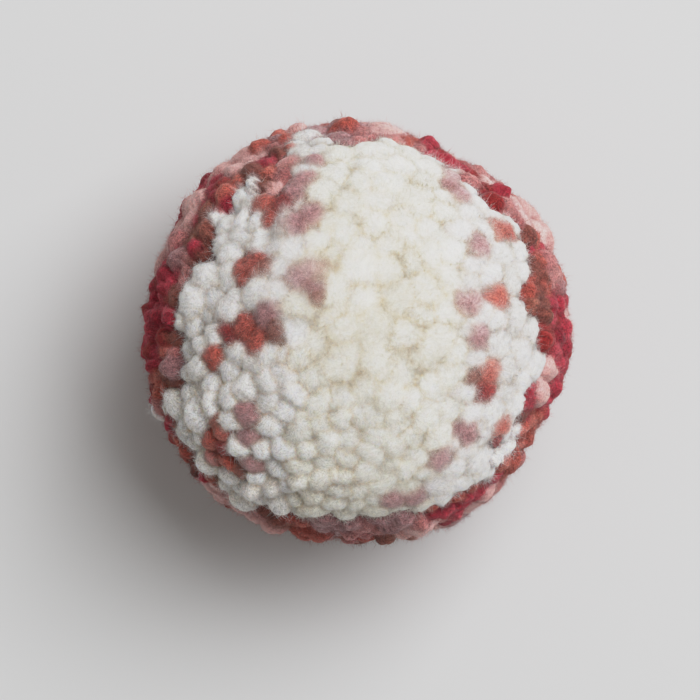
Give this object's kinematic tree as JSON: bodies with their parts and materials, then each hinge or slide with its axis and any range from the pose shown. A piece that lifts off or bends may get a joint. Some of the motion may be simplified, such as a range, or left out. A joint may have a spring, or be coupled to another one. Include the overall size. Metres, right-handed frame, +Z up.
{
  "type": "yarn pom pom",
  "caption": "Round yarn pom pom of cut wool locks spreading from a tied middle, half cream and white, half berry, rust and pink, resting on a small flat spot.",
  "frame": {"origin": "on the surface the ball rests on, under the middle of its outline", "axes": "+Z up through the cream half's crown, away from the surface; +Y towards the top of the picture when the ball is seen from above, +X to its right"},
  "size_m": [0.0868, 0.0848, 0.0789],
  "materials": {
    "cream_half_yarn": "soft wool yarn, cut ends, matt",
    "berry_half_yarn": "soft variegated wool yarn, cut ends, matt"
  },
  "bodies": {
    "root": {"cream_half": "cream_half_yarn", "berry_half": "berry_half_yarn"}
  },
  "joints": []
}
